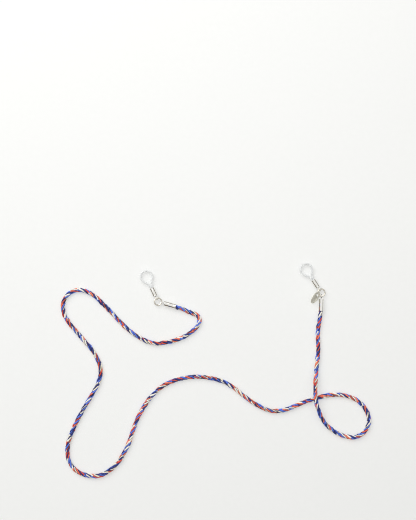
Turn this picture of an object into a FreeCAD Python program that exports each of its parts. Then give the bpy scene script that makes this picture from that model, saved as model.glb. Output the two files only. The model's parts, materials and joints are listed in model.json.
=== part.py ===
"""Eyeglass retainer strap: a limp rope with a crimped end, a jump ring and a silicone temple loop at
each end, and an oval tag on the right ring. It lies on a flat surface at Z = 0, with the ends towards +Y.
"""
import FreeCAD, Part

import math
import os

import Sketcher

Vector = FreeCAD.Vector

# Driving dimensions, in millimetres and degrees.
SIZES = {
    "cord_d": 2.7,
    "barrel_r": 1.8,
    "barrel_wall": 0.48,
    "barrel_len": 7.3,
    "seam_angle": 62.0,
    "seam_half_angle": 5.0,
    "flap_setback": 1.0,
    "flap_edge": 0.7,
    "neck_width": 1.5,
    "neck_wall": 0.42,
    "neck_bend": 1.1,
    "neck_mitre": 0.11,
    "eye_reach": 1.95,
    "eye_r": 1.5,
    "eye_hole_r": 0.88,
    "eye_wall": 0.5,
    "ring_wire_d": 0.86,
    "ring_mean_r": 2.25,
    "ring_height": 1.68,
    "ring_turn": 355.5,
    "ferrule_r": 1.55,
    "ferrule_bore_r": 1.3,
    "ferrule_len": 5.5,
    "ferrule_lip": 0.1,
    "pin_reach": 1.6,
    "pin_eye_r": 1.2,
    "pin_wire_r": 0.32,
    "pin_stem_r": 0.45,
    "plug_len": 1.7,
    "band_width": 1.8,
    "band_wall": 0.95,
    "band_half_gap": 0.03,
    "band_round": 0.28,
    "band_start": 2.1,
    "band_spread": 5.8,
    "band_centre": 13.3,
    "band_outer_r": 4.15,
    "tag_len": 9.0,
    "tag_width": 6.0,
    "tag_wall": 0.4,
    "tag_round": 0.12,
    "tag_hole_r": 1.25,
    "tag_hole_inset": 2.0,
}

# Where each end of the cord enters its crimped end, the way that end points, and the way its loop points.
ENDS = {
    "left": {"mouth": (-36.0, -12.45), "yaw": 164.0, "loop_yaw": 115.0, "split_yaw": 60.0},
    "right": {"mouth": (54.9, -15.1), "yaw": 88.0, "loop_yaw": 123.0, "split_yaw": 20.0},
}

# The tag's place on the right ring, seen from the ring's centre, and how it leans.
TAG = {"place": 209.0, "outward": 0.28, "lift": 0.31, "yaw": 230.5, "pitch": 11.7, "roll": -48.5}

# The cord's route from the left end to the right end, on its centreline.
ROUTE = [
    (-41.4, -10.9, 1.8),
    (-33.4, -13.2, 1.8),
    (-27.2, -15.8, 1.35),
    (-22.4, -17.6, 1.35),
    (-20.8, -20.8, 1.35),
    (-22.0, -24.6, 1.35),
    (-26.2, -28.6, 1.35),
    (-32.2, -32.2, 1.35),
    (-40.6, -34.8, 1.35),
    (-51.4, -36.0, 1.35),
    (-65.4, -27.8, 1.35),
    (-78.2, -13.8, 1.35),
    (-88.6, -3.9, 1.35),
    (-98.0, -1.0, 1.35),
    (-106.0, -6.2, 1.35),
    (-107.2, -17.0, 1.35),
    (-96.6, -30.0, 1.35),
    (-84.8, -43.0, 1.35),
    (-81.4, -56.4, 1.35),
    (-93.2, -75.6, 1.35),
    (-102.8, -95.0, 1.35),
    (-103.4, -108.2, 1.35),
    (-94.8, -117.0, 1.35),
    (-80.0, -118.0, 1.35),
    (-66.8, -104.2, 1.35),
    (-59.4, -78.8, 1.35),
    (-44.6, -60.4, 1.35),
    (-24.6, -55.2, 1.35),
    (-4.2, -58.6, 1.35),
    (11.4, -72.4, 1.35),
    (27.4, -79.4, 1.35),
    (45.6, -70.8, 1.35),
    (64.0, -66.4, 1.35),
    (77.2, -69.8, 1.35),
    (84.0, -77.8, 1.35),
    (84.6, -87.2, 1.35),
    (77.2, -94.4, 1.35),
    (66.6, -92.6, 1.35),
    (57.0, -86.0, 2.0),
    (51.6, -75.0, 4.4),
    (50.7, -64.4, 4.4),
    (51.6, -53.0, 2.0),
    (53.4, -40.0, 1.35),
    (52.8, -26.6, 1.35),
    (54.8, -18.5, 1.8),
    (55.1, -10.3, 1.8),
]
ARC_SHARE = 0.45
VOLUME_TOLERANCE = 0.02
FLAT_TOLERANCE = 1e-6


def make_sheet(doc):
    """The spreadsheet of driving dimensions, one aliased cell each."""
    sheet = doc.addObject("Spreadsheet::Sheet", "sizes")
    for row, (name, value) in enumerate(SIZES.items(), start=1):
        sheet.set(f"A{row}", name)
        sheet.set(f"B{row}", str(value))
        sheet.setAlias(f"B{row}", name)
    doc.recompute()
    return sheet


def make_body(doc, label):
    """An empty PartDesign body with a label of its own."""
    body = doc.addObject("PartDesign::Body", label)
    body.Label = label
    return body


def sketch_on(body, role):
    """A sketch on one of the body's own origin planes."""
    sketch = body.newObject("Sketcher::SketchObject", "sketch")
    plane = next(f for f in body.Origin.OriginFeatures if f.Role == role)
    sketch.AttachmentSupport = [(plane, "")]
    sketch.MapMode = "FlatFace"
    return sketch


def dimension(sketch, name, expression, *constraint):
    """A named dimension of a sketch, bound to the sheet."""
    index = sketch.addConstraint(Sketcher.Constraint(*constraint))
    sketch.renameConstraint(index, name)
    sketch.setExpression(f"Constraints.{name}", expression)


def add_circle(sketch, name, x, radius, radius_cell, x_cell=None):
    """A circle centred on the sketch's X axis, or on its origin."""
    index = sketch.addGeometry(Part.Circle(Vector(x, 0, 0), Vector(0, 0, 1), radius))
    if x_cell is None:
        sketch.addConstraint(Sketcher.Constraint("Coincident", index, 3, -1, 1))
    else:
        sketch.addConstraint(Sketcher.Constraint("PointOnObject", index, 3, -1))
        dimension(sketch, f"{name}_x", x_cell, "DistanceX", -1, 1, index, 3, x)
    dimension(sketch, f"{name}_r", radius_cell, "Radius", index, radius)
    return index


def add_feature(doc, body, kind, sketch, **properties):
    """A sketch-based feature; values given as text are bound to the sheet."""
    feature = body.newObject(f"PartDesign::{kind}", kind)
    feature.Profile = sketch
    for name, value in properties.items():
        if isinstance(value, str) and value.startswith("="):
            feature.setExpression(name, value[1:])
        else:
            setattr(feature, name, value)
    doc.recompute()
    return feature


def round_edges(doc, body, base, radius_cell, chosen):
    """A fillet on the edges of the base feature that the test chooses."""
    names = [f"Edge{n}" for n, edge in enumerate(base.Shape.Edges, start=1) if chosen(edge)]
    fillet = body.newObject("PartDesign::Fillet", "Fillet")
    fillet.Base = (base, names)
    fillet.setExpression("Radius", radius_cell)
    doc.recompute()
    return fillet


def in_face(height):
    """The test for edges that lie in a plate's top or bottom face."""
    return lambda edge: (edge.BoundBox.ZLength < FLAT_TOLERANCE
                         and abs(abs(edge.BoundBox.ZMin) - height) < FLAT_TOLERANCE)


def at_yaw(position, yaw):
    """A placement at a point, turned about Z."""
    return FreeCAD.Placement(position, FreeCAD.Rotation(Vector(0, 0, 1), yaw))


def step(yaw, distance):
    """The vector of a length along a direction in the XY plane."""
    return Vector(math.cos(math.radians(yaw)), math.sin(math.radians(yaw)), 0) * distance


def cord_end(doc, sheet, label):
    """A sheet metal end folded round the cord: local X runs from its mouth to its eye."""
    body = make_body(doc, label)

    section = sketch_on(body, "YZ_Plane")
    outer_r = sheet.barrel_r
    inner_r = outer_r - sheet.barrel_wall
    start = math.radians(sheet.seam_angle + sheet.seam_half_angle)
    end = math.radians(sheet.seam_angle - sheet.seam_half_angle) + 2 * math.pi
    arcs = []
    for radius in (outer_r, inner_r):
        circle = Part.Circle(Vector(0, 0, 0), Vector(0, 0, 1), radius)
        arcs.append(section.addGeometry(Part.ArcOfCircle(circle, start, end)))
        section.addConstraint(Sketcher.Constraint("Coincident", arcs[-1], 3, -1, 1))
    dimension(section, "outer_r", "sizes.barrel_r", "Radius", arcs[0], outer_r)
    dimension(section, "inner_r", "sizes.barrel_r - sizes.barrel_wall", "Radius", arcs[1], inner_r)
    for point, angle, name in ((1, start, "seam_left"), (2, end, "seam_right")):
        near = Vector(math.cos(angle), math.sin(angle), 0)
        lip = section.addGeometry(Part.LineSegment(near * inner_r, near * outer_r))
        section.addConstraint(Sketcher.Constraint("Coincident", lip, 1, arcs[1], point))
        section.addConstraint(Sketcher.Constraint("Coincident", lip, 2, arcs[0], point))
        section.addConstraint(Sketcher.Constraint("PointOnObject", -1, 1, lip))
        sign = "+" if point == 1 else "-"
        dimension(section, name, f"sizes.seam_angle {sign} sizes.seam_half_angle",
                  "Angle", -1, 1, lip, 1, angle % (2 * math.pi))
    add_feature(doc, body, "Pad", section, Length="=sizes.barrel_len")

    flap_cut = sketch_on(body, "XY_Plane")
    flap_outline(flap_cut, sheet)
    add_feature(doc, body, "Pocket", flap_cut, Type="ThroughAll", Midplane=True)

    strip = sketch_on(body, "XY_Plane")
    neck_outline(strip, sheet)
    add_feature(doc, body, "Pad", strip, Length="=sizes.neck_width", Midplane=True)

    eye = sketch_on(body, "XZ_Plane")
    eye_x = sheet.barrel_len + sheet.eye_reach
    add_circle(eye, "rim", eye_x, sheet.eye_r, "sizes.eye_r", "sizes.barrel_len + sizes.eye_reach")
    add_feature(doc, body, "Pad", eye, Length="=sizes.eye_wall", Midplane=True)
    hole = sketch_on(body, "XZ_Plane")
    add_circle(hole, "hole", eye_x, sheet.eye_hole_r, "sizes.eye_hole_r",
               "sizes.barrel_len + sizes.eye_reach")
    add_feature(doc, body, "Pocket", hole, Type="ThroughAll", Midplane=True)
    return body


def outline(sketch, corners):
    """A closed outline of straight lines, with its level and upright lines held so."""
    count = len(corners)
    for n in range(count):
        sketch.addGeometry(Part.LineSegment(corners[n], corners[(n + 1) % count]))
    for n in range(count):
        sketch.addConstraint(Sketcher.Constraint("Coincident", n, 2, (n + 1) % count, 1))
        run = corners[(n + 1) % count] - corners[n]
        if run.y == 0:
            sketch.addConstraint(Sketcher.Constraint("Horizontal", n))
        elif run.x == 0:
            sketch.addConstraint(Sketcher.Constraint("Vertical", n))


def place_ends(sketch, rows):
    """Holds line ends at their distances from the origin, each bound to the sheet."""
    for name, line, end, value, expression in rows:
        if name.endswith("_x"):
            dimension(sketch, name, expression, "DistanceX", -1, 1, line, end, value)
        elif value < 0:
            dimension(sketch, name, expression, "DistanceY", line, end, -1, 1, -value)
        else:
            dimension(sketch, name, expression, "DistanceY", -1, 1, line, end, value)


def flap_outline(sketch, sheet):
    """The cut at the barrel's far end that leaves only its back wall."""
    near, far = sheet.barrel_len - sheet.flap_setback, 2 * sheet.barrel_len
    low, high = -sheet.flap_edge, 2 * sheet.barrel_r
    outline(sketch, [Vector(near, low, 0), Vector(far, low, 0), Vector(far, high, 0), Vector(near, high, 0)])
    place_ends(sketch, (
        ("near_x", 0, 1, near, "sizes.barrel_len - sizes.flap_setback"),
        ("far_x", 1, 1, far, "2 * sizes.barrel_len"),
        ("low_y", 0, 1, low, "sizes.flap_edge"),
        ("high_y", 2, 1, high, "2 * sizes.barrel_r"),
    ))


def neck_outline(sketch, sheet):
    """The neck from above: a strip that leaves the barrel's back wall and bends in to the axis."""
    half = sheet.neck_wall / 2
    back = sheet.barrel_wall / 2 - sheet.barrel_r
    start = sheet.barrel_len - sheet.flap_setback
    bend, level = sheet.barrel_len, sheet.barrel_len + sheet.neck_bend
    end = sheet.barrel_len + sheet.eye_reach - sheet.eye_hole_r - half
    upper, lower, mitre = back + half, back - half, sheet.neck_mitre
    outline(sketch, [
        Vector(start, upper, 0), Vector(bend - mitre, upper, 0), Vector(level - mitre, half, 0),
        Vector(end, half, 0), Vector(end, -half, 0), Vector(level + mitre, -half, 0),
        Vector(bend + mitre, lower, 0), Vector(start, lower, 0),
    ])
    place_ends(sketch, (
        ("start_x", 0, 1, start, "sizes.barrel_len - sizes.flap_setback"),
        ("upper_y", 0, 1, upper, "sizes.barrel_r - sizes.barrel_wall / 2 - sizes.neck_wall / 2"),
        ("lower_y", 6, 2, lower, "sizes.barrel_r - sizes.barrel_wall / 2 + sizes.neck_wall / 2"),
        ("upper_bend_x", 1, 1, bend - mitre, "sizes.barrel_len - sizes.neck_mitre"),
        ("lower_bend_x", 6, 1, bend + mitre, "sizes.barrel_len + sizes.neck_mitre"),
        ("upper_level_x", 2, 1, level - mitre, "sizes.barrel_len + sizes.neck_bend - sizes.neck_mitre"),
        ("lower_level_x", 4, 2, level + mitre, "sizes.barrel_len + sizes.neck_bend + sizes.neck_mitre"),
        ("upper_end_y", 2, 2, half, "sizes.neck_wall / 2"),
        ("lower_end_y", 4, 1, -half, "sizes.neck_wall / 2"),
        ("end_x", 2, 2, end, "sizes.barrel_len + sizes.eye_reach - sizes.eye_hole_r - sizes.neck_wall / 2"),
    ))


def jump_ring(doc, sheet, label):
    """A round wire bent to a ring about local Z, with the narrow split where its ends meet."""
    body = make_body(doc, label)
    wire = sketch_on(body, "XZ_Plane")
    add_circle(wire, "wire", sheet.ring_mean_r, sheet.ring_wire_d / 2, "sizes.ring_wire_d / 2",
               "sizes.ring_mean_r")
    add_feature(doc, body, "Revolution", wire, ReferenceAxis=(wire, ["V_Axis"]), Angle="=sizes.ring_turn")
    return body


def ferrule(doc, sheet, label):
    """A short tube: local X runs from the ring's side to the band's side."""
    body = make_body(doc, label)
    section = sketch_on(body, "YZ_Plane")
    add_circle(section, "outside", 0, sheet.ferrule_r, "sizes.ferrule_r")
    add_circle(section, "bore", 0, sheet.ferrule_bore_r, "sizes.ferrule_bore_r")
    tube = add_feature(doc, body, "Pad", section, Length="=sizes.ferrule_len")
    round_edges(doc, body, tube, "sizes.ferrule_lip", lambda edge: isinstance(edge.Curve, Part.Circle))
    return body


def ferrule_eye(doc, label):
    """The plug in the ferrule's end with its wire eye, in the ferrule's own frame."""
    plug = doc.addObject("Part::Cylinder", label + "_plug")
    plug.Placement = FreeCAD.Placement(Vector(), FreeCAD.Rotation(Vector(0, 1, 0), 90))
    plug.setExpression("Radius", "sizes.ferrule_bore_r")
    plug.setExpression("Height", "sizes.plug_len")
    stem = doc.addObject("Part::Cylinder", label + "_stem")
    stem.Placement = FreeCAD.Placement(Vector(), FreeCAD.Rotation(Vector(0, 1, 0), -90))
    stem.setExpression("Radius", "sizes.pin_stem_r")
    stem.setExpression("Height", "sizes.pin_reach - sizes.pin_eye_r")
    loop = doc.addObject("Part::Torus", label + "_loop")
    loop.Placement = FreeCAD.Placement(Vector(), FreeCAD.Rotation(Vector(1, 0, 0), 90))
    loop.setExpression("Radius1", "sizes.pin_eye_r")
    loop.setExpression("Radius2", "sizes.pin_wire_r")
    loop.setExpression("Placement.Base.x", "-sizes.pin_reach")
    whole = doc.addObject("Part::MultiFuse", label)
    whole.Shapes = [plug, stem, loop]
    whole.Label = label
    return whole


def teardrop(sketch, sheet, half_width, half_cell, radius, radius_cell, start, start_cell):
    """A teardrop outline: two straight legs, two hollow arcs and a round end, all tangent."""
    spread, centre = sheet.band_spread, sheet.band_centre
    reach = centre - spread
    side_r = (reach ** 2 + half_width ** 2 - radius ** 2) / (2 * (radius - half_width))
    lean = math.atan2(half_width + side_r, reach)
    upper = Part.Circle(Vector(spread, half_width + side_r, 0), Vector(0, 0, 1), side_r)
    lower = Part.Circle(Vector(spread, -half_width - side_r, 0), Vector(0, 0, 1), side_r)
    tip = Part.Circle(Vector(centre, 0, 0), Vector(0, 0, 1), radius)
    sketch.addGeometry([
        Part.LineSegment(Vector(start, half_width, 0), Vector(spread, half_width, 0)),
        Part.ArcOfCircle(upper, -math.pi / 2, -lean),
        Part.ArcOfCircle(tip, lean - math.pi, math.pi - lean),
        Part.ArcOfCircle(lower, lean, math.pi / 2),
        Part.LineSegment(Vector(spread, -half_width, 0), Vector(start, -half_width, 0)),
        Part.LineSegment(Vector(start, -half_width, 0), Vector(start, half_width, 0)),
    ])
    for joint in ((0, 2, 1, 1), (1, 2, 2, 2), (2, 1, 3, 1), (3, 2, 4, 1)):
        sketch.addConstraint(Sketcher.Constraint("Tangent", *joint))
    for joint in ((4, 2, 5, 1), (5, 2, 0, 1)):
        sketch.addConstraint(Sketcher.Constraint("Coincident", *joint))
    for line in (0, 4):
        sketch.addConstraint(Sketcher.Constraint("Horizontal", line))
    sketch.addConstraint(Sketcher.Constraint("Symmetric", 5, 1, 5, 2, -1))
    sketch.addConstraint(Sketcher.Constraint("PointOnObject", 2, 3, -1))
    dimension(sketch, "start", start_cell, "DistanceX", -1, 1, 5, 1, start)
    dimension(sketch, "width", f"2 * ({half_cell})", "DistanceY", 5, 1, 5, 2, 2 * half_width)
    dimension(sketch, "spread_upper", "sizes.band_spread", "DistanceX", -1, 1, 0, 2, spread)
    dimension(sketch, "spread_lower", "sizes.band_spread", "DistanceX", -1, 1, 4, 1, spread)
    dimension(sketch, "centre", "sizes.band_centre", "DistanceX", -1, 1, 2, 3, centre)
    dimension(sketch, "tip_r", radius_cell, "Radius", 2, radius)


def silicone_loop(doc, sheet, label):
    """The band that grips a temple, in the ferrule's own frame, with its two legs in the ferrule."""
    body = make_body(doc, label)
    outside = sketch_on(body, "XY_Plane")
    half_width = sheet.band_half_gap + sheet.band_wall
    teardrop(outside, sheet, half_width, "sizes.band_half_gap + sizes.band_wall", sheet.band_outer_r,
             "sizes.band_outer_r", sheet.band_start, "sizes.band_start")
    add_feature(doc, body, "Pad", outside, Length="=sizes.band_width", Midplane=True)
    inside = sketch_on(body, "XY_Plane")
    teardrop(inside, sheet, sheet.band_half_gap, "sizes.band_half_gap",
             sheet.band_outer_r - sheet.band_wall, "sizes.band_outer_r - sizes.band_wall",
             sheet.band_start / 2, "sizes.band_start / 2")
    opened = add_feature(doc, body, "Pocket", inside, Type="ThroughAll", Midplane=True)
    round_edges(doc, body, opened, "sizes.band_round", in_face(sheet.band_width / 2))
    return body


def oval_tag(doc, sheet, label):
    """A flat oval plate with a hole near one end, which is at its local origin."""
    body = make_body(doc, label)
    outside = sketch_on(body, "XY_Plane")
    middle = sheet.tag_len / 2 - sheet.tag_hole_inset
    outside.addGeometry(Part.Ellipse(Vector(middle, 0, 0), sheet.tag_len / 2, sheet.tag_width / 2))
    outside.exposeInternalGeometry(0)
    outside.addConstraint(Sketcher.Constraint("PointOnObject", 0, 3, -1))
    outside.addConstraint(Sketcher.Constraint("Horizontal", 1))
    dimension(outside, "middle", "sizes.tag_len / 2 - sizes.tag_hole_inset",
              "DistanceX", -1, 1, 0, 3, middle)
    dimension(outside, "length", "sizes.tag_len", "Distance", 1, sheet.tag_len)
    dimension(outside, "width", "sizes.tag_width", "Distance", 2, sheet.tag_width)
    add_circle(outside, "hole", 0, sheet.tag_hole_r, "sizes.tag_hole_r")
    plate = add_feature(doc, body, "Pad", outside, Length="=sizes.tag_wall", Midplane=True)
    round_edges(doc, body, plate, "sizes.tag_round", in_face(sheet.tag_wall / 2))
    return body


def route_path(points):
    """Straight runs joined by tangent arcs, and the radius of each arc."""
    edges = []
    radii = []
    here = points[0]
    for n in range(1, len(points) - 1):
        back = points[n - 1] - points[n]
        ahead = points[n + 1] - points[n]
        cut = ARC_SHARE * min(back.Length, ahead.Length)
        back.normalize()
        ahead.normalize()
        half_turn = (math.pi - back.getAngle(ahead)) / 2
        radius = cut / math.tan(half_turn)
        middle = (back + ahead).normalize()
        start = points[n] + back * cut
        end = points[n] + ahead * cut
        crown = points[n] + middle * (radius / math.cos(half_turn) - radius)
        edges.append(Part.LineSegment(here, start).toShape())
        edges.append(Part.Arc(start, crown, end).toShape())
        radii.append(radius)
        here = end
    edges.append(Part.LineSegment(here, points[-1]).toShape())
    return Part.Wire(edges), radii


def cord(doc, sheet, label):
    """The rope as a plain tube along its route."""
    points = [Vector(*point) for point in ROUTE]
    path, radii = route_path(points)
    start_way = points[1] - points[0]
    section = Part.Wire(Part.Circle(points[0], start_way, sheet.cord_d / 2).toShape())
    shape = path.makePipeShell([section], True, True)
    expected = math.pi * (sheet.cord_d / 2) ** 2 * path.Length
    print("cord length", round(path.Length, 1), "volume ratio", round(shape.Volume / expected, 4))
    print("cord radii", [round(radius, 1) for radius in radii])
    if abs(shape.Volume / expected - 1) > VOLUME_TOLERANCE:
        raise ValueError("the cord's volume does not match its length")
    feature = doc.addObject("Part::Feature", label)
    feature.Label = label
    feature.Shape = shape
    return feature


def make_end(doc, sheet, side):
    """One end of the strap: the crimped end, its ring, and the loop with its ferrule."""
    end = ENDS[side]
    mouth = Vector(*end["mouth"], sheet.barrel_r)
    crimp = cord_end(doc, sheet, f"cord_end_{side}")
    crimp.Placement = at_yaw(mouth, end["yaw"])

    eye = mouth + step(end["yaw"], sheet.barrel_len + sheet.eye_reach)
    centre = eye + step(end["yaw"], sheet.ring_mean_r)
    centre.z = sheet.ring_height
    ring = jump_ring(doc, sheet, f"jump_ring_{side}")
    ring.Placement = at_yaw(centre, end["split_yaw"])

    base = centre + step(end["loop_yaw"], sheet.ring_mean_r + sheet.pin_reach)
    base.z = sheet.ferrule_r
    loop_frame = at_yaw(base, end["loop_yaw"])
    tube = ferrule(doc, sheet, f"ferrule_{side}")
    plug = ferrule_eye(doc, f"ferrule_eye_{side}")
    band = silicone_loop(doc, sheet, f"silicone_loop_{side}")
    for part in (tube, plug, band):
        part.Placement = loop_frame
    return [crimp, ring, tube, plug, band], centre


def place_tag(tag, sheet, centre):
    """Hangs the tag's hole on the right ring's wire and leans it on the surface."""
    hole = centre + step(TAG["place"], sheet.ring_mean_r + TAG["outward"])
    hole.z = sheet.ring_height + TAG["lift"]
    tag.Placement = FreeCAD.Placement(hole, FreeCAD.Rotation(TAG["yaw"], -TAG["pitch"], TAG["roll"]))


def check(doc, parts):
    """Stops before anything is written if a feature failed or a shape is not one valid solid."""
    for item in doc.Objects:
        if any(word in item.State for word in ("Invalid", "Error")):
            raise ValueError(f"{item.Name} failed: {item.State}")
    for part in parts:
        if part.Shape.isNull() or not part.Shape.isValid():
            raise ValueError(f"{part.Label} is not a valid shape")
        box = part.Shape.BoundBox
        print(f"{part.Label:20s} solids {len(part.Shape.Solids)} volume {part.Shape.Volume:9.2f} "
              f"Z {box.ZMin:.2f} to {box.ZMax:.2f}")


def main():
    doc = FreeCAD.newDocument("strap")
    sheet = make_sheet(doc)
    left, _ = make_end(doc, sheet, "left")
    right, ring_centre = make_end(doc, sheet, "right")
    tag = oval_tag(doc, sheet, "tag")
    place_tag(tag, sheet, ring_centre)
    parts = [cord(doc, sheet, "cord")] + left + right + [tag]
    doc.recompute()
    check(doc, parts)
    os.makedirs("parts", exist_ok=True)
    for part in parts:
        part.Shape.exportStep(f"parts/{part.Label}.step")


main()
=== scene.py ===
import json
import math

import bmesh
import bpy
import numpy as np
from mathutils import Matrix, Vector


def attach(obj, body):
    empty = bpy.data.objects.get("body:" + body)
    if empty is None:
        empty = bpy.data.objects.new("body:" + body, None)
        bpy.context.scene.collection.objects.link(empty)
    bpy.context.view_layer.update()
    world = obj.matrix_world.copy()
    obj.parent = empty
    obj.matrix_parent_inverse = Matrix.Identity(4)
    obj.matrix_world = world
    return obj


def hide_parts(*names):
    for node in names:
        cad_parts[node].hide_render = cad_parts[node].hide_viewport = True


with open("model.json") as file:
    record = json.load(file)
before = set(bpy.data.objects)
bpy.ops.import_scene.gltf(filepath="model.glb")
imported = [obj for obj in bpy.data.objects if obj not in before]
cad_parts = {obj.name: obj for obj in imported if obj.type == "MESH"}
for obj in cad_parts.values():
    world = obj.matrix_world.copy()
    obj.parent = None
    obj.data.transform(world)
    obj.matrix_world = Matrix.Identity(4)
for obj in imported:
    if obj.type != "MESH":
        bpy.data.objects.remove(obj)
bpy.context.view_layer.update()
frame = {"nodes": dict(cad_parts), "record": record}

# Lengths are in metres, angles in degrees and noise scales in turns for each metre, unless a comment
# says otherwise. A bump is its strength and its height.
MM = 0.001
FULL_TURN = 2 * math.pi
SEED = 11
random = np.random.default_rng(SEED)

# The rope: its size, its route as in part.py, and where it leaves the left crimped end.
ROUTE = [
    (-0.0414, -0.0109, 0.0018),
    (-0.0334, -0.0132, 0.0018),
    (-0.0272, -0.0158, 0.00135),
    (-0.0224, -0.0176, 0.00135),
    (-0.0208, -0.0208, 0.00135),
    (-0.0220, -0.0246, 0.00135),
    (-0.0262, -0.0286, 0.00135),
    (-0.0322, -0.0322, 0.00135),
    (-0.0406, -0.0348, 0.00135),
    (-0.0514, -0.0360, 0.00135),
    (-0.0654, -0.0278, 0.00135),
    (-0.0782, -0.0138, 0.00135),
    (-0.0886, -0.0039, 0.00135),
    (-0.0980, -0.0010, 0.00135),
    (-0.1060, -0.0062, 0.00135),
    (-0.1072, -0.0170, 0.00135),
    (-0.0966, -0.0300, 0.00135),
    (-0.0848, -0.0430, 0.00135),
    (-0.0814, -0.0564, 0.00135),
    (-0.0932, -0.0756, 0.00135),
    (-0.1028, -0.0950, 0.00135),
    (-0.1034, -0.1082, 0.00135),
    (-0.0948, -0.1170, 0.00135),
    (-0.0800, -0.1180, 0.00135),
    (-0.0668, -0.1042, 0.00135),
    (-0.0594, -0.0788, 0.00135),
    (-0.0446, -0.0604, 0.00135),
    (-0.0246, -0.0552, 0.00135),
    (-0.0042, -0.0586, 0.00135),
    (0.0114, -0.0724, 0.00135),
    (0.0274, -0.0794, 0.00135),
    (0.0456, -0.0708, 0.00135),
    (0.0640, -0.0664, 0.00135),
    (0.0772, -0.0698, 0.00135),
    (0.0840, -0.0778, 0.00135),
    (0.0846, -0.0872, 0.00135),
    (0.0772, -0.0944, 0.00135),
    (0.0666, -0.0926, 0.00135),
    (0.0570, -0.0860, 0.0020),
    (0.0516, -0.0750, 0.0044),
    (0.0507, -0.0644, 0.0044),
    (0.0516, -0.0530, 0.0020),
    (0.0534, -0.0400, 0.00135),
    (0.0528, -0.0266, 0.00135),
    (0.0548, -0.0185, 0.0018),
    (0.0551, -0.0103, 0.0018),
]

# How finely the route's line is read, and how far apart the rope's rings of points are.
SPLINE_RESOLUTION = 32
RING_SPACING = 0.00062

# How the rope is laid: twisted strands of two plies round a core, thinner at its crimped ends.
STRANDS = 6
STRAND_SIDES = 13
STRAND_RADIUS = 0.00046
STRAND_CENTRE = 0.00087
STRAND_PITCH = 0.0132
PLIES = 2
PLY_DEPTH = 0.14
PLY_PITCH = 0.0046
CORE_SIDES = 6
CORE_RADIUS = 0.00075
SQUEEZE = 0.96
SQUEEZE_LENGTH = 0.0075

# How uneven the rope is: the most that a value varies by, and the length of about one wave. The
# turn varies in radians, the dyes' tone by so much, and the others by a share of themselves.
LAY_VARIES = (0.16, 0.03)
TURN_VARIES = (0.13, 0.009)
REACH_VARIES = (0.19, 0.0035)
RADIUS_VARIES = (0.26, 0.0035)
TONE_VARIES = (0.2, 0.004)

# The dyes: dark blue, bright blue, red and cream, each as its weight of red, its weight of cream and
# its tone, and the core's, which has its painted light too: full, with no painted shade. Then the
# share of the yarns in each dye, how long a yarn keeps its dye, and how far the chance of a dye
# falls where the yarn has it already, or the strand before it or the first strand has it there.
DYES = ((0, 0, 0.1), (0, 0, 0.8), (1, 0, 0.5), (0, 1, 0.5))
CORE_DYE_AND_LIGHT = (0, 0, 1, 1)
DYE_SHARES = (0.19, 0.22, 0.27, 0.32)
DYE_STAY = (0.0028, 0.006)
DYE_REPEATS = 0.01

# The shade painted into the yarn's colour in the rope's grooves, by distance from its middle, and
# between a strand's plies.
GROOVE_RADIUS = 0.0008
CREST_RADIUS = 0.00135
GROOVE_LIGHT = 0.1
PLY_SHADE = 0.1

# The yarn's material: its fibres' noise along and across it, how far fibres stray over a dye's
# border, how soft the borders are, and its colours from dark to light.
FIBRE_SCALE = (420, 11000, 11000)
FIBRE_DETAIL = 3.0
FIBRE_BUMP = (0.5, 0.00012)
FIBRES_STRAY = 0.9
DYE_BORDER = 0.08
TONE_BORDER = 0.25
BLUES = [(0.15, (0.02, 0.03, 0.20)), (0.75, (0.10, 0.20, 0.82))]
REDS = [(0.2, (0.75, 0.05, 0.04)), (0.7, (1.0, 0.24, 0.13))]
CREAMS = [(0.1, (0.92, 0.84, 0.62)), (0.5, (1.0, 0.97, 0.88))]
# The painted shade multiplied into the yarn's colour, from deep in the grooves to the lit crests.
GROOVE_SHADES = [(0.2, (0.04, 0.04, 0.07)), (0.5, (0.42, 0.40, 0.46)), (0.72, (1, 1, 1))]
FIBRE_SHADES = [(0.30, (0.72, 0.72, 0.74)), (0.68, (1.15, 1.15, 1.15))]
YARN_FINISH = {"Roughness": 0.62, "Sheen Weight": 0.25, "Sheen Roughness": 0.4}

# The metals: colour, least and most roughness, how deep the fine grain is, and how metallic. Then
# the waves and the scratches in all of them, as the noise's scale and detail.
SILVER = ((0.90, 0.885, 0.84), (0.07, 0.20), 0.25, 1.0)
# The rings' silver: a darker, browner copy of SILVER, painted shade that stands in for the dark reflections
# along the thin wire.
SHADED_RING_SILVER = ((0.76, 0.72, 0.64), (0.07, 0.20), 0.25, 1.0)
TAG_SILVER = ((0.93, 0.92, 0.84), (0.50, 0.60), 0.2, 0.7)
METAL_WAVES = (420.0, 2.0)
METAL_SCRATCHES = (5200.0, 4.0)
WAVE_BUMP = (0.07, 0.0001)
GRAIN_HEIGHT = 0.00001
DULL_SHARE = 0.94
DULL_PLACES = (0.35, 0.6)
POLISH_PLACES = (0.3, 0.7)

# The silicone: its milky clouds and its skin, as the noise's scale and detail, and its finish.
SILICONE_CLOUDS = (900.0, 3.0)
SILICONE_SKIN = (6000.0, 3.0)
SILICONE_COLOURS = [(0.35, (0.93, 0.95, 0.96)), (0.65, (0.97, 0.98, 0.99))]
SILICONE_ROUGHNESS = (0.22, 0.42)
SKIN_BUMP = (0.2, 0.00003)
SILICONE_FINISH = {"IOR": 1.41, "Transmission Weight": 0.35, "Sheen Weight": 0.3}

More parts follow.
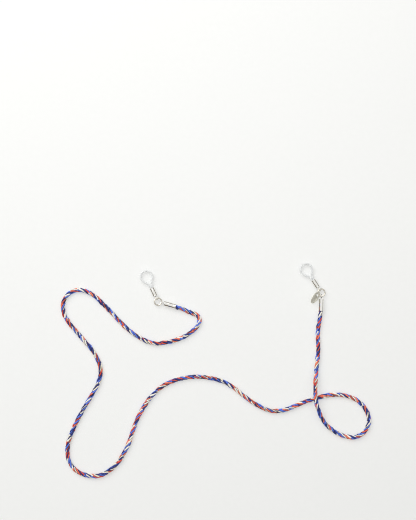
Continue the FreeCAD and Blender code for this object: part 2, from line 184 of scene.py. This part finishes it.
# The crimped ends, along each from the rope's mouth: a rolled barrel, slightly square, and a strip
# that narrows from its back wall to the upright eye. The barrel's sheet goes round from one angle to
# the other, and the rest of the turn is its open seam.
BARREL_RADIUS = 0.0018
BARREL_LENGTH = 0.0074
BARREL_ANGLES = (67.0, 417.0)
BARREL_COLUMNS = 71
BARREL_ROWS = 22
BARREL_FLARE = 0.00004
BARREL_SQUARE = 2.5
BARREL_DENTS = (0.0018, 0.0056)
DENT_DEPTH = 0.00005
DENT_WIDTH = 0.0005
WALL = 0.00044
STRIP_MIDDLE = 180.0
STRIP_SPREAD = 67.0
STRIP_HALF_WIDTH = 0.00075
STRIP_END = 0.0083
STRIP_ROWS = 12
STRIP_NARROWS = 0.0005
STRIP_BENDS = 0.0008
EYE_PLACE = 0.00925
EYE_RADII = (0.00088, 0.0015)
EYE_WALL = 0.0005
EYE_SIDES = 48

# The split rings. Their ends sit a step above and a step below the middle, and the wire rises to
# them near the split: the higher the odd power, the nearer.
RING_RADIUS = 0.00225
RING_WIRE = 0.00043
RING_TURN = 355.5
RING_SPLIT = {"left": 60.0, "right": 20.0}
RING_STEP = 0.00005
RING_POWER = 5
RING_STEPS = 72
RING_SIDES = 16

# The ferrules and the plugs in them, as (x, radius) pairs in millimetres, and the plugs' eyes of wire.
FERRULE_PLACE = 0.00385
FERRULE_RADIUS = 0.00155
FERRULE_PROFILE = [(0.0, 1.30), (0.0, 1.55), (0.7, 1.55), (0.85, 1.50), (1.0, 1.55), (4.5, 1.55),
                   (4.65, 1.50), (4.8, 1.55), (5.5, 1.55), (5.5, 1.30)]
FERRULE_SIDES = 64
PLUG_PROFILE = [(-0.5, 0.45), (-0.16, 0.45), (-0.1, 0.75), (0.0, 1.05), (0.12, 1.30), (1.7, 1.30)]
PLUG_SIDES = 48
LOOP_PLACE = -0.0016
LOOP_RADIUS = 0.0012
LOOP_WIRE = 0.00032
LOOP_SIDES = 16

# The rounded edges of the metal pieces: their width, and the edges sharp enough to have one.
EDGE_BEVEL = 0.00008
EDGE_SEGMENTS = 3
EDGE_ANGLE = 40.0

# The camera: nearly straight above, with the empty part of the picture above the loops. The lens is
# in millimetres and the filter in pixels.
CAMERA_DISTANCE = 0.8
CAMERA_ELEVATION = 85.5
CAMERA_LENS = 88.0
CAMERA_TARGET = Vector((-0.01575, 0.017, 0.0))
PIXEL_FILTER = 1.1

# The floor: half its side, its grain, and its glow, which is painted light, brightest on one side:
# how strong it is, its brightest place, how far it fades, and its shades from the faded end to the
# brightest place.
FLOOR_HALF = 6.0
FLOOR_GRAIN = (300.0, 2.0)
FLOOR_COLOURS = [(0.3, (0.435, 0.440, 0.434)), (0.7, (0.445, 0.450, 0.444))]
FLOOR_GLOW = 0.608
FLOOR_BRIGHT = (-0.10, 0.33, 0.0)
FLOOR_FADE = 1.6
FLOOR_SHADES = [(0.0, (0.40, 0.40, 0.40)), (0.25, (0.42, 0.42, 0.42)), (0.5, (0.55, 0.55, 0.547)),
                (1.0, (0.96, 0.962, 0.955))]
# The floor's finish, with the strength of its painted glow.
FLOOR_FINISH_AND_GLOW = {"Emission Strength": FLOOR_GLOW, "Roughness": 0.75, "Specular IOR Level": 0.2}

# The room's light by height, from level to straight up, and what it is multiplied by on the near
# side, which begins and is complete at these directions along Y.
ROOM = [(0.0, (0.30, 0.28, 0.26)), (0.12, (0.10, 0.09, 0.07)), (0.46, (0.16, 0.145, 0.12)),
        (0.60, (0.9, 0.9, 0.9)), (1.0, (1.0, 1.0, 1.0))]
ROOM_NEAR = (0.62, 0.59, 0.50, 1)
ROOM_NEAR_PLACES = (-0.1, -0.7)
ROOM_LIGHT = 0.93

# The window: a square light, its side and its power in watts.
WINDOW_PLACE = Vector((-0.6, 0.75, 0.95))
WINDOW_TARGET = Vector((0, -0.05, 0))
WINDOW_SIZE = 1.1
WINDOW_POWER = 11.5
WINDOW_COLOUR = (1.0, 1.0, 0.99)


def smooth_step(value):
    """A soft rise from 0 to 1."""
    value = np.clip(value, 0, 1)
    return value * value * (3 - 2 * value)


def smooth_noise(length, count, varies):
    """A smooth random wave along a length: the most it varies by, and the length of about one wave."""
    amount, spacing = varies
    knots = max(4, int(length / spacing) + 3)
    values = random.uniform(-1, 1, knots)
    # The last place is just short of the last knot, because each place needs a knot after it.
    places = np.linspace(0, knots - 1.001, count)
    low = places.astype(int)
    share = smooth_step(places - low)
    return amount * (values[low] * (1 - share) + values[low + 1] * share)


def unit(vectors):
    """Each row scaled to a length of one."""
    return vectors / np.linalg.norm(vectors, axis=1)[:, None]


def angles_round(sides):
    """The angle of each corner of a ring, in radians."""
    return np.arange(sides) / sides * FULL_TURN


def link_object(name, data):
    """A new object in the scene, with its mesh, curve, light or camera."""
    piece = bpy.data.objects.new(name, data)
    bpy.context.scene.collection.objects.link(piece)
    return piece


def route_line():
    """The cord's smooth line, read from the NURBS spline of its route: evenly spaced points, and the
    length up to each."""
    curve = bpy.data.curves.new("cord_route", "CURVE")
    curve.dimensions = "3D"
    curve.resolution_u = SPLINE_RESOLUTION
    spline = curve.splines.new("NURBS")
    spline.points.add(len(ROUTE) - 1)
    for point, place in zip(spline.points, ROUTE):
        point.co = (*place, 1.0)
    spline.order_u = 3
    spline.use_endpoint_u = True
    carrier = link_object("cord_route", curve)
    mesh = bpy.data.meshes.new_from_object(carrier)
    line = np.array([vertex.co for vertex in mesh.vertices])
    bpy.data.objects.remove(carrier)
    bpy.data.curves.remove(curve)
    bpy.data.meshes.remove(mesh)
    along = np.concatenate([[0], np.cumsum(np.linalg.norm(np.diff(line, axis=0), axis=1))])
    even = np.linspace(0, along[-1], int(along[-1] / RING_SPACING) + 1)
    return np.stack([np.interp(even, along, line[:, n]) for n in range(3)], axis=1), even


def carried_frames(line):
    """A side and an up direction at each point, carried along the line without twisting."""
    ahead = unit(np.gradient(line, axis=0))
    side = np.zeros_like(line)
    side[0] = np.cross(ahead[0], (0, 0, 1))
    side[0] /= np.linalg.norm(side[0])
    for n in range(1, len(line)):
        side[n] = side[n - 1] - ahead[n] * np.dot(side[n - 1], ahead[n])
        side[n] /= np.linalg.norm(side[n])
    return side, np.cross(ahead, side)


def dye_kinds(even, beside):
    """Which dye a strand has at each ring: seldom the one before it, or that of the strands given."""
    kinds = np.zeros(len(even), int)
    place = 0.0
    while place < even[-1]:
        stay = random.uniform(*DYE_STAY)
        here = even >= place
        middle = np.searchsorted(even, min(place + stay / 2, even[-1]))
        taken = [kinds[-1]] + [other[middle] for other in beside]
        chance = np.where(np.isin(np.arange(len(DYES)), taken), DYE_REPEATS, 1) * DYE_SHARES
        kinds[here] = random.choice(len(DYES), p=chance / chance.sum())
        place += stay
    return kinds


def tube(centres, out, across, radii):
    """The points of a tube's rings: out and across are the ring's two directions at each centre."""
    angle = angles_round(radii.shape[1])
    ring = np.cos(angle)[None, :, None] * out[:, None] + np.sin(angle)[None, :, None] * across[:, None]
    return centres[:, None] + radii[:, :, None] * ring


def tube_faces(rings, sides, first=0):
    """The faces of a tube with closed ends, whose points start at an index."""
    faces = []
    for ring in range(rings - 1):
        base = first + ring * sides
        for side in range(sides):
            after = (side + 1) % sides
            faces.append((base + side, base + after, base + sides + after, base + sides + side))
    faces.append(tuple(first + side for side in range(sides))[::-1])
    faces.append(tuple(first + (rings - 1) * sides + side for side in range(sides)))
    return faces


def strand_rings(strand, line, frames, even, lay, squeeze):
    """A strand's rings of points, and each point's angle round the strand's twisted plies."""
    count, length = len(even), even[-1]
    side, up = frames
    turn = lay + FULL_TURN * strand / STRANDS + smooth_noise(length, count, TURN_VARIES)
    reach = STRAND_CENTRE * squeeze * (1 + smooth_noise(length, count, REACH_VARIES))
    radius = STRAND_RADIUS * squeeze * (1 + smooth_noise(length, count, RADIUS_VARIES))
    out = np.cos(turn)[:, None] * side + np.sin(turn)[:, None] * up
    centres = line + reach[:, None] * out
    ahead = unit(np.gradient(centres, axis=0))
    across = unit(np.cross(ahead, out))
    ply = angles_round(STRAND_SIDES)[None] + (even / PLY_PITCH * FULL_TURN)[:, None] + strand
    radii = radius[:, None] * (1 + PLY_DEPTH * np.cos(PLIES * ply))
    return tube(centres, np.cross(across, ahead), across, radii), ply


def strand_dye_and_shade(rings, line, even, ply, kinds):
    """A strand's dye at each point: the weights of red and cream, the tone, and the painted shade."""
    depth = np.linalg.norm(rings - line[:, None], axis=2) - GROOVE_RADIUS
    light = np.clip(depth / (CREST_RADIUS - GROOVE_RADIUS), GROOVE_LIGHT, 1)
    shade = light * (1 - PLY_SHADE + PLY_SHADE * np.cos(PLIES * ply))
    varied = smooth_noise(even[-1], len(even), TONE_VARIES)
    dye = np.array(DYES)[kinds] + (0, 0, 1) * varied[:, None]
    return np.concatenate([np.repeat(dye[:, None], STRAND_SIDES, 1), shade[..., None]], axis=2)


def rope():
    """The laid rope: strands of two plies round a core, with the yarns' dyes, painted shade and fibres."""
    line, even = route_line()
    frames = carried_frames(line)
    count, length = len(even), even[-1]
    end_distance = np.minimum(even, length - even)
    squeeze = SQUEEZE + (1 - SQUEEZE) * np.clip(end_distance / SQUEEZE_LENGTH, 0, 1)
    steps = FULL_TURN / STRAND_PITCH * RING_SPACING * (1 + smooth_noise(length, count, LAY_VARIES))
    lay = np.cumsum(steps)
    points, faces, dyes_and_shades, fibres, kinds = [], [], [], [], []
    for strand in range(STRANDS):
        rings, ply = strand_rings(strand, line, frames, even, lay, squeeze)
        kinds.append(dye_kinds(even, kinds[-1:] + kinds[:1]))
        dye = strand_dye_and_shade(rings, line, even, ply, kinds[-1])
        along = np.repeat((even + strand)[:, None], STRAND_SIDES, 1)
        fibre = np.stack([along, STRAND_RADIUS * np.cos(ply), STRAND_RADIUS * np.sin(ply)], axis=2)
        points.append(rings.reshape(-1, 3))
        faces += tube_faces(count, STRAND_SIDES, strand * count * STRAND_SIDES)
        dyes_and_shades.append(dye.reshape(-1, 4))
        fibres.append(fibre.reshape(-1, 3))
    core = tube(line, *frames, np.full((count, CORE_SIDES), CORE_RADIUS)).reshape(-1, 3)
    points.append(core)
    faces += tube_faces(count, CORE_SIDES, STRANDS * count * STRAND_SIDES)
    dyes_and_shades.append(np.tile(CORE_DYE_AND_LIGHT, (len(core), 1)))
    fibres.append(core)

    mesh = bpy.data.meshes.new("cord_rope")
    mesh.from_pydata(np.concatenate(points).tolist(), [], faces)
    # The dye attribute: the weights of red and cream, the tone, and, fourth, the painted shade.
    dye_and_shade_data = mesh.attributes.new("dye", "FLOAT_COLOR", "POINT").data
    dye_and_shade_data.foreach_set("color", np.concatenate(dyes_and_shades).ravel())
    fibre_data = mesh.attributes.new("fibre", "FLOAT_VECTOR", "POINT").data
    fibre_data.foreach_set("vector", np.concatenate(fibres).ravel())
    mesh.polygons.foreach_set("use_smooth", np.ones(len(mesh.polygons), bool))
    mesh.update()
    mesh.materials.append(yarn_material())
    piece = link_object("cord_rope", mesh)
    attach(piece, "strap")
    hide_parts("cord")


def new_material(name):
    """A material with only its Principled shader: the material, its node tree and that shader."""
    material = bpy.data.materials.new(name)
    material.use_nodes = True
    return material, material.node_tree, material.node_tree.nodes["Principled BSDF"]


def connect(tree, node, inputs):
    """Sets a node's inputs, by name or number: each to a value, or linked from an output."""
    for name, value in inputs.items():
        if isinstance(value, bpy.types.NodeSocket):
            tree.links.new(value, node.inputs[name])
        else:
            node.inputs[name].default_value = value


def add_node(tree, kind, inputs, **settings):
    """A shader node with its settings and its inputs."""
    node = tree.nodes.new(f"ShaderNode{kind}")
    for name, value in settings.items():
        setattr(node, name, value)
    connect(tree, node, inputs)
    return node


def object_place(tree):
    """The place on an object, in metres."""
    return add_node(tree, "TexCoord", {}).outputs["Object"]


def noise(tree, place, scale, detail):
    """Noise from 0 to 1 at a place."""
    node = add_node(tree, "TexNoise", {"Vector": place, "Scale": scale, "Detail": detail})
    return node.outputs["Fac"]


def rescale(tree, value, start=(0.0, 1.0), end=(0.0, 1.0)):
    """A value moved from one range to another, and kept inside it."""
    ranges = {"From Min": start[0], "From Max": start[1], "To Min": end[0], "To Max": end[1]}
    return add_node(tree, "MapRange", {"Value": value, **ranges}).outputs["Result"]


def bump(tree, height, strength, distance, **normal):
    """A normal roughened by a height, on top of another normal where one is given."""
    relief = {"Height": height, "Strength": strength, "Distance": distance}
    return add_node(tree, "Bump", {**relief, **normal}).outputs["Normal"]


def ramp(tree, factor, stops):
    """A colour ramp through (place, colour) stops."""
    node = add_node(tree, "ValToRGB", {"Fac": factor})
    band = node.color_ramp
    band.elements[0].position, band.elements[0].color = stops[0][0], (*stops[0][1], 1)
    band.elements[1].position, band.elements[1].color = stops[-1][0], (*stops[-1][1], 1)
    for place, colour in stops[1:-1]:
        band.elements.new(place).color = (*colour, 1)
    return node.outputs["Color"]


def mix(tree, factor, first, second, blend="MIX"):
    """Two colours mixed by a factor. The Mix node's colour inputs are its numbers 6 and 7."""
    inputs = {0: factor, 6: first, 7: second}
    return add_node(tree, "Mix", inputs, data_type="RGBA", blend_type=blend).outputs[2]


def fibrous(tree, weight, threads, softness):
    """A dye's weight made crisp, with the ends of single fibres showing along its borders."""
    stray = add_node(tree, "Math", {0: threads, 1: FIBRES_STRAY, 2: -FIBRES_STRAY / 2},
                     operation="MULTIPLY_ADD")
    added = add_node(tree, "Math", {0: weight, 1: stray.outputs[0]}, operation="ADD")
    return rescale(tree, added.outputs[0], (0.5 - softness, 0.5 + softness))


def yarn_material():
    """Soft cotton yarns in blue, red and cream, with fine twisted fibres and painted shade in the grooves.
    """
    material, tree, shader = new_material("yarn")
    dye = add_node(tree, "Attribute", {}, attribute_name="dye")
    fibre = add_node(tree, "Attribute", {}, attribute_name="fibre")
    weights = add_node(tree, "SeparateColor", {"Color": dye.outputs["Color"]})
    along = add_node(tree, "Mapping", {"Vector": fibre.outputs["Vector"], "Scale": FIBRE_SCALE})
    threads = noise(tree, along.outputs[0], 1.0, FIBRE_DETAIL)
    tone = fibrous(tree, weights.outputs["Blue"], threads, TONE_BORDER)
    colour = ramp(tree, tone, BLUES)
    for weight, colours in (("Red", REDS), ("Green", CREAMS)):
        crisp = fibrous(tree, weights.outputs[weight], threads, DYE_BORDER)
        colour = mix(tree, crisp, colour, ramp(tree, tone, colours))
    # Multiplied in: the painted shade in the grooves, from the dye attribute's fourth value, and the
    # fibres' uneven tone.
    for value, shades in ((dye.outputs["Alpha"], GROOVE_SHADES), (threads, FIBRE_SHADES)):
        colour = mix(tree, 1.0, colour, ramp(tree, value, shades), "MULTIPLY")
    connect(tree, shader, {"Base Color": colour, "Normal": bump(tree, threads, *FIBRE_BUMP), **YARN_FINISH})
    return material


def metal_material(name, colour, roughness, grain, metallic):
    """Plated metal with faint waves, fine scratches and slightly uneven polish."""
    material, tree, shader = new_material(name)
    place = object_place(tree)
    waves = noise(tree, place, *METAL_WAVES)
    scratches = noise(tree, place, *METAL_SCRATCHES)
    dull = tuple(DULL_SHARE * part for part in colour)
    wavy = bump(tree, waves, *WAVE_BUMP)
    connect(tree, shader, {
        "Base Color": ramp(tree, waves, list(zip(DULL_PLACES, (dull, colour)))),
        "Roughness": rescale(tree, scratches, POLISH_PLACES, roughness),
        "Normal": bump(tree, scratches, grain, GRAIN_HEIGHT, Normal=wavy),
        "Metallic": metallic})
    return material


def silicone_material():
    """Clear, slightly milky silicone with a satin moulded skin."""
    material, tree, shader = new_material("silicone")
    place = object_place(tree)
    skin = noise(tree, place, *SILICONE_SKIN)
    connect(tree, shader, {
        "Base Color": ramp(tree, noise(tree, place, *SILICONE_CLOUDS), SILICONE_COLOURS),
        "Roughness": rescale(tree, skin, end=SILICONE_ROUGHNESS),
        "Normal": bump(tree, skin, *SKIN_BUMP),
        **SILICONE_FINISH})
    return material


def floor_material():
    """A pale matte surface with painted light: it glows faintly, so that shadows on it are soft, and a
    painted pool of light makes one side brighter."""
    material, tree, shader = new_material("floor")
    place = object_place(tree)
    # The painted pool of light: the glow fades away from the brightest place.
    spread = add_node(tree, "Mapping", {"Vector": place, "Scale": (1 / FLOOR_FADE,) * 3,
                                        "Location": tuple(-part / FLOOR_FADE for part in FLOOR_BRIGHT)})
    fade = add_node(tree, "TexGradient", {"Vector": spread.outputs[0]}, gradient_type="SPHERICAL")
    connect(tree, shader, {
        "Base Color": ramp(tree, noise(tree, place, *FLOOR_GRAIN), FLOOR_COLOURS),
        "Emission Color": ramp(tree, fade.outputs["Fac"], FLOOR_SHADES),
        **FLOOR_FINISH_AND_GLOW})
    return material


def finish_node(name, material):
    """Gives a CAD node its material."""
    data = frame["nodes"][name].data
    data.materials.clear()
    data.materials.append(material)


def add_solid(mesh, points, faces):
    """Adds points and faces to a bmesh."""
    corners = [mesh.verts.new(point) for point in points]
    for face in faces:
        mesh.faces.new([corners[n] for n in face])


def rod(stations, sides):
    """The points and faces of a capped round bar along X, through (x, radius) stations."""
    rings = np.array(stations)
    level = np.zeros(len(rings))
    centres = np.stack([rings[:, 0], level, level], axis=1)
    axes = np.tile((0.0, 1.0, 0.0), (len(rings), 1)), np.tile((0.0, 0.0, 1.0), (len(rings), 1))
    points = tube(centres, *axes, np.repeat(rings[:, 1:], sides, 1))
    return points.reshape(-1, 3), tube_faces(len(rings), sides)


def turned(profile, sides):
    """The points and faces of a closed profile of (x, radius) pairs turned round the X axis."""
    count = len(profile)
    points, faces = [], []
    for turn in range(sides):
        angle = turn / sides * FULL_TURN
        points += [(x, radius * math.cos(angle), radius * math.sin(angle)) for x, radius in profile]
        here, there = turn * count, (turn + 1) % sides * count
        for n in range(count):
            after = (n + 1) % count
            faces.append((here + n, here + after, there + after, there + n))
    return np.array(points), faces


def upright(profile, sides, place):
    """The same as turned, but round an axis along Y, at a place along X."""
    points, faces = turned(profile, sides)
    to_y = np.array(Matrix.Rotation(math.radians(90), 4, "Z").to_3x3())
    return points @ to_y.T + (place, 0, 0), faces


def split_ring(start):
    """The points and faces of a wire bent round Z, whose ends sit apart in height."""
    count = RING_STEPS + 1
    angle = np.radians(start + np.linspace(0, RING_TURN, count))
    out = np.stack([np.cos(angle), np.sin(angle), np.zeros(count)], axis=1)
    up = np.tile((0.0, 0.0, 1.0), (count, 1))
    lift = np.linspace(-1, 1, count)[:, None] ** RING_POWER * RING_STEP * up
    points = tube(RING_RADIUS * out + lift, out, up, np.full((count, RING_SIDES), RING_WIRE))
    return points.reshape(-1, 3), tube_faces(count, RING_SIDES)


def crimp_sheet(mesh):
    """The crimped end's sheet metal: the rolled barrel, and the strip that leaves its back wall."""
    angles = np.radians(np.linspace(*BARREL_ANGLES, BARREL_COLUMNS))
    barrel = np.linspace(0, BARREL_LENGTH, BARREL_ROWS)
    strip = np.linspace(BARREL_LENGTH, STRIP_END, STRIP_ROWS)[1:]
    middle = BARREL_RADIUS - WALL / 2
    power = BARREL_SQUARE
    square = (np.abs(np.cos(angles)) ** power + np.abs(np.sin(angles)) ** power) ** (-1 / power)
    share = (np.degrees(angles) - STRIP_MIDDLE) / STRIP_SPREAD
    kept = np.abs(share) <= 1
    grid = []
    for x in (*barrel, *strip):
        dents = sum(math.exp(-((x - dent) / DENT_WIDTH) ** 2) for dent in BARREL_DENTS)
        radius = middle + BARREL_FLARE * math.exp(-x / DENT_WIDTH) - DENT_DEPTH * dents
        narrow = smooth_step((x - BARREL_LENGTH) / STRIP_NARROWS)
        inward = smooth_step((x - STRIP_END + STRIP_BENDS) / STRIP_BENDS)
        y = (1 - narrow) * radius * square * np.cos(angles) - narrow * middle * (1 - inward)
        z = (1 - narrow) * radius * square * np.sin(angles) - narrow * STRIP_HALF_WIDTH * share
        grid.append([mesh.verts.new((x, *place)) for place in zip(y, z)])
    for row, (near, far) in enumerate(zip(grid, grid[1:])):
        for n in range(len(angles) - 1):
            if row < len(barrel) - 1 or (kept[n] and kept[n + 1]):
                mesh.faces.new((near[n], near[n + 1], far[n + 1], far[n]))
    loose = [corner for corner in mesh.verts if not corner.link_faces]
    bmesh.ops.delete(mesh, geom=loose, context="VERTS")
    bmesh.ops.recalc_face_normals(mesh, faces=mesh.faces)
    bmesh.ops.solidify(mesh, geom=mesh.faces[:], thickness=WALL)


def metal_piece(name, body, mesh, origin, way, material):
    """A metal piece from a bmesh in its own frame, which stands for the CAD node of its name."""
    heading = Matrix.Rotation(math.atan2(way.y, way.x), 4, "Z")
    bmesh.ops.recalc_face_normals(mesh, faces=mesh.faces)
    bmesh.ops.transform(mesh, verts=mesh.verts, matrix=Matrix.Translation(origin) @ heading)
    data = bpy.data.meshes.new(name + "_smooth")
    mesh.to_mesh(data)
    mesh.free()
    data.polygons.foreach_set("use_smooth", np.ones(len(data.polygons), bool))
    data.materials.append(material)
    piece = link_object(name + "_smooth", data)
    bevel = piece.modifiers.new("edges", "BEVEL")
    bevel.width = EDGE_BEVEL
    bevel.segments = EDGE_SEGMENTS
    bevel.limit_method = "ANGLE"
    bevel.angle_limit = math.radians(EDGE_ANGLE)
    bevel.harden_normals = True
    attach(piece, body)
    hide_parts(name)


def dress_fittings():
    """The metal fittings as smooth pieces at their joints' places, and the other nodes' materials."""
    silver = metal_material("polished_metal", *SILVER)
    # The rings' metal has the painted shade of the darker silver.
    shaded_ring_silver = metal_material("ring_metal_shaded", *SHADED_RING_SILVER)
    silicone = silicone_material()
    joints = {joint["name"]: Vector(joint["pos_m"]) for joint in frame["record"]["behaviour"]["joints"]}
    grips = {mount["name"]: Vector(mount["pos_m"]) for mount in frame["record"]["mounts"]}
    half, (inner, outer) = EYE_WALL / 2, EYE_RADII
    eye_profile = [(-half, inner), (-half, outer), (half, outer), (half, inner)]
    around = angles_round(LOOP_SIDES)
    loop_profile = np.stack([LOOP_WIRE * np.cos(around), LOOP_RADIUS + LOOP_WIRE * np.sin(around)], axis=1)
    for side in ("left", "right"):
        eye, centre = joints[f"{side}_ring_lift"], joints[f"{side}_loop_swivel"]
        way = (centre - eye).normalized()
        mouth = eye - way * EYE_PLACE
        mouth.z = BARREL_RADIUS
        crimp = bmesh.new()
        crimp_sheet(crimp)
        add_solid(crimp, *upright(eye_profile, EYE_SIDES, EYE_PLACE))
        metal_piece(f"cord_end_{side}", "strap", crimp, mouth, way, silver)

        ring = bmesh.new()
        add_solid(ring, *split_ring(RING_SPLIT[side]))
        metal_piece(f"jump_ring_{side}", f"{side}_ring", ring, centre, Vector((1, 0, 0)), shaded_ring_silver)

        out = grips[f"temple_grip_{side}"] - centre
        out.z = 0
        out.normalize()
        base = centre + out * FERRULE_PLACE
        base.z = FERRULE_RADIUS
        sleeve = bmesh.new()
        points, faces = turned(FERRULE_PROFILE, FERRULE_SIDES)
        add_solid(sleeve, points * MM, faces)
        metal_piece(f"ferrule_{side}", f"{side}_loop", sleeve, base, out, silver)

        plug = bmesh.new()
        points, faces = rod(PLUG_PROFILE, PLUG_SIDES)
        add_solid(plug, points * MM, faces)
        add_solid(plug, *upright(loop_profile, EYE_SIDES, LOOP_PLACE))
        metal_piece(f"ferrule_eye_{side}", f"{side}_loop", plug, base, out, silver)
        finish_node(f"silicone_loop_{side}", silicone)
    finish_node("tag", metal_material("tag_metal", *TAG_SILVER))


def make_floor():
    """The pale surface that the strap lies on."""
    mesh = bpy.data.meshes.new("floor")
    corners = [(x * FLOOR_HALF, y * FLOOR_HALF, 0) for x, y in ((-1, -1), (1, -1), (1, 1), (-1, 1))]
    mesh.from_pydata(corners, [], [(0, 1, 2, 3)])
    mesh.materials.append(floor_material())
    link_object("floor", mesh)


def make_room():
    """A bright room that is darker low down, and dimmer and warmer on the near side."""
    world = bpy.data.worlds.new("room")
    world.use_nodes = True
    tree = world.node_tree
    way = add_node(tree, "TexCoord", {})
    height = add_node(tree, "SeparateXYZ", {"Vector": way.outputs["Generated"]})
    room = ramp(tree, height.outputs["Z"], ROOM)
    near = rescale(tree, height.outputs["Y"], ROOM_NEAR_PLACES)
    room = mix(tree, near, room, mix(tree, 1.0, room, ROOM_NEAR, "MULTIPLY"))
    connect(tree, tree.nodes["Background"], {"Color": room, "Strength": ROOM_LIGHT})
    bpy.context.scene.world = world


def make_window():
    """A large soft window light from the upper left."""
    light = bpy.data.lights.new("window", "AREA")
    light.size = WINDOW_SIZE
    light.energy = WINDOW_POWER
    light.color = WINDOW_COLOUR
    lamp = link_object("window", light)
    lamp.location = WINDOW_PLACE
    lamp.rotation_euler = (WINDOW_TARGET - WINDOW_PLACE).to_track_quat("-Z", "Y").to_euler()
    lamp.visible_camera = False


def make_camera():
    """The camera of the photograph's view."""
    data = bpy.data.cameras.new("camera")
    data.lens = CAMERA_LENS
    camera = link_object("camera", data)
    angle = math.radians(CAMERA_ELEVATION)
    back = Vector((0, -math.cos(angle), math.sin(angle)))
    camera.location = CAMERA_TARGET + back * CAMERA_DISTANCE
    camera.rotation_euler = (-back).to_track_quat("-Z", "Y").to_euler()
    bpy.context.scene.camera = camera


make_camera()
rope()
dress_fittings()
make_floor()
make_room()
make_window()
bpy.context.scene.view_settings.view_transform = "Standard"
bpy.context.scene.cycles.filter_width = PIXEL_FILTER
